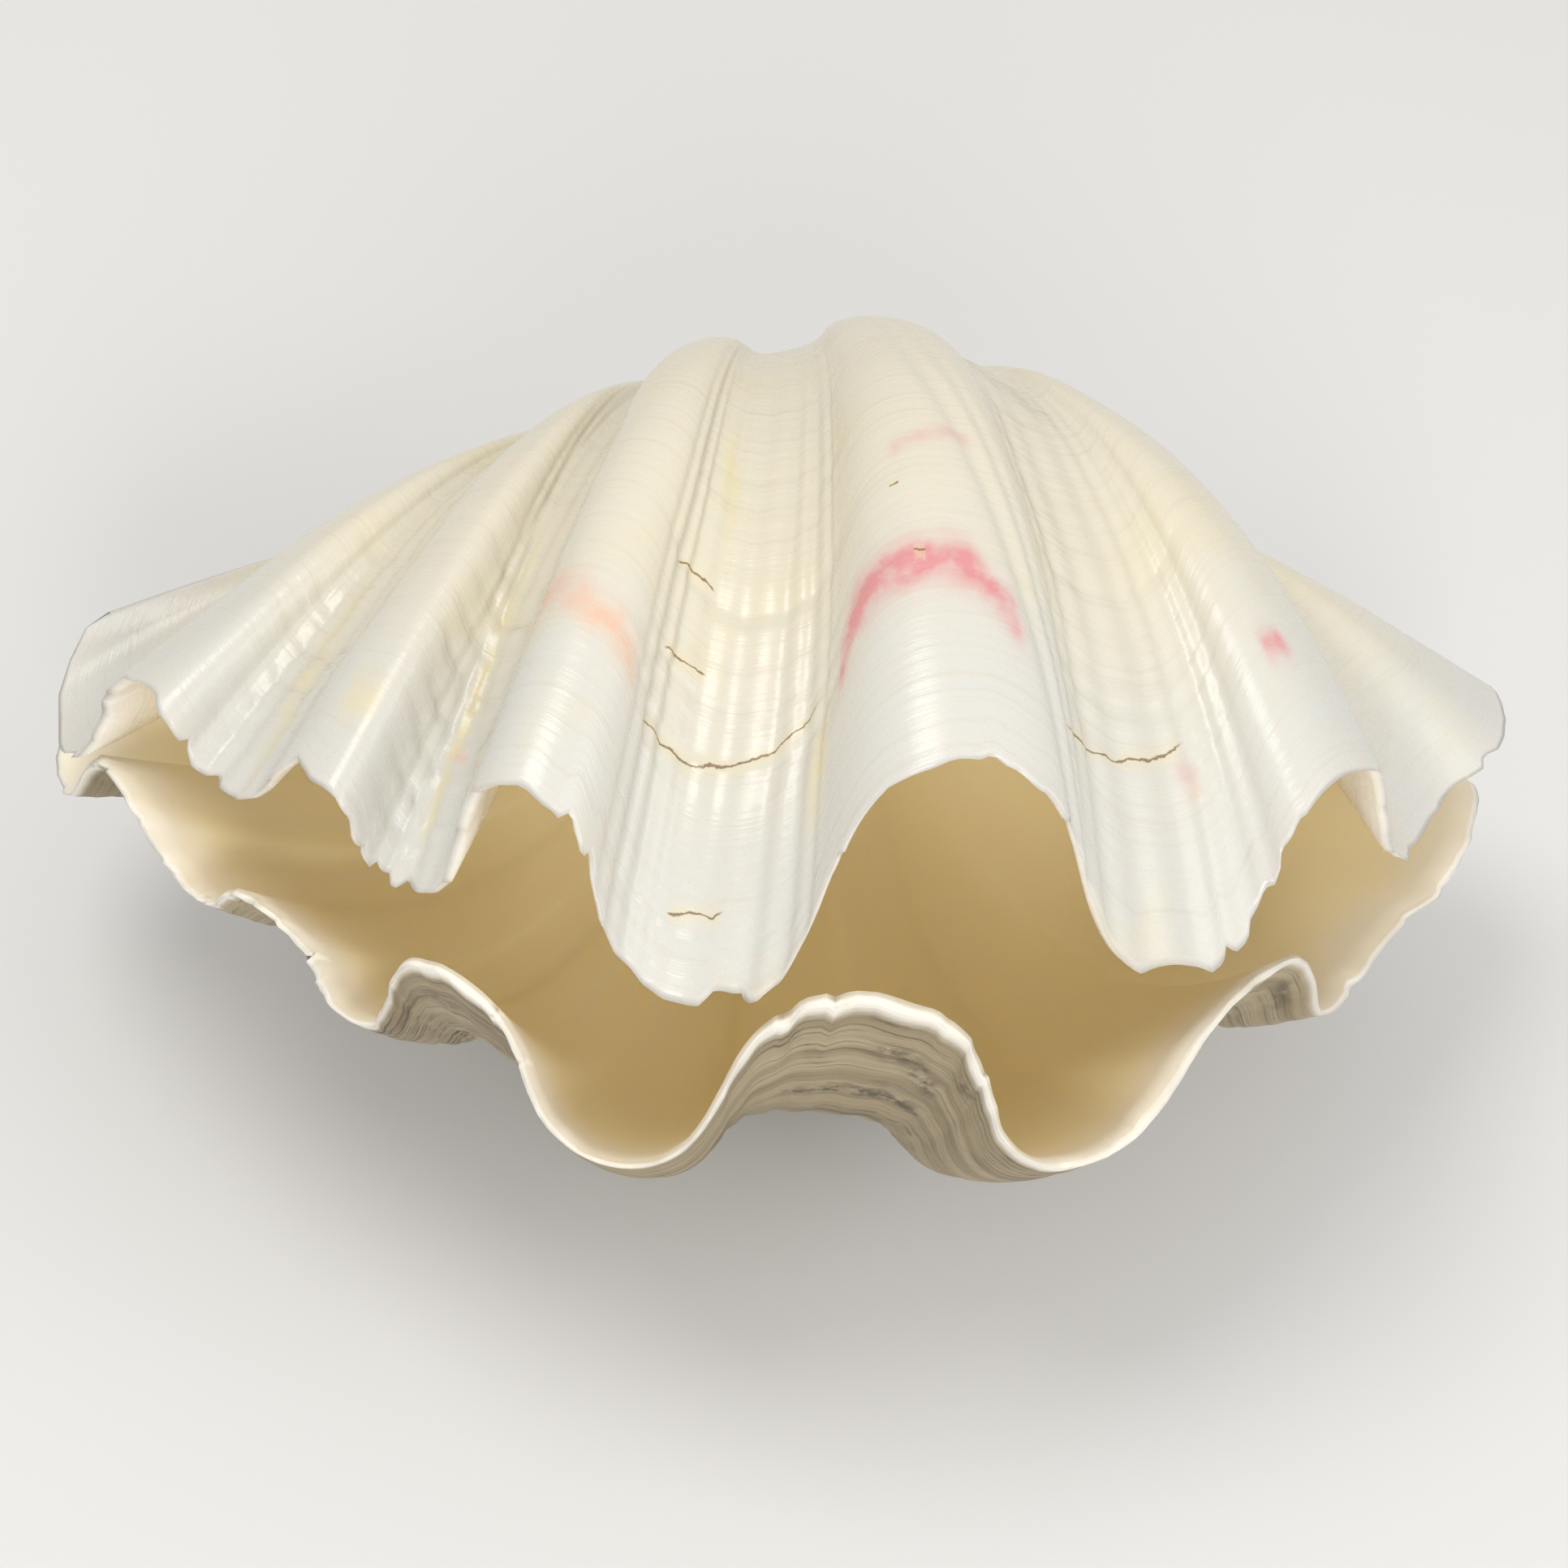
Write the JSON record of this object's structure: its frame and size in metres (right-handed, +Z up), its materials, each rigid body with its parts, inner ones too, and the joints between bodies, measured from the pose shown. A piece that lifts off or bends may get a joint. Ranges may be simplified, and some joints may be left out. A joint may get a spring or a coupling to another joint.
{
  "type": "giant clam shell",
  "caption": "Fluted giant clam shell with both valves joined at the hinge and standing a little open, for display.",
  "frame": {"origin": "on the floor under the middle of the overall box", "axes": "+X along the hinge and the shell's longest way, -Y out of the open mouth, +Z up"},
  "size_m": [0.2516, 0.1564, 0.1459],
  "materials": {
    "upper_valve": "polished shell, white with ivory, rose and peach growth bands",
    "lower_valve": "smooth tan-gold shell inside, grey-beige weathered growth lines outside",
    "hinge_ligament": "dried horny ligament, dark brown"
  },
  "bodies": {
    "root": {"upper_valve": "upper_valve", "lower_valve": "lower_valve", "hinge_ligament": "hinge_ligament"}
  },
  "joints": []
}
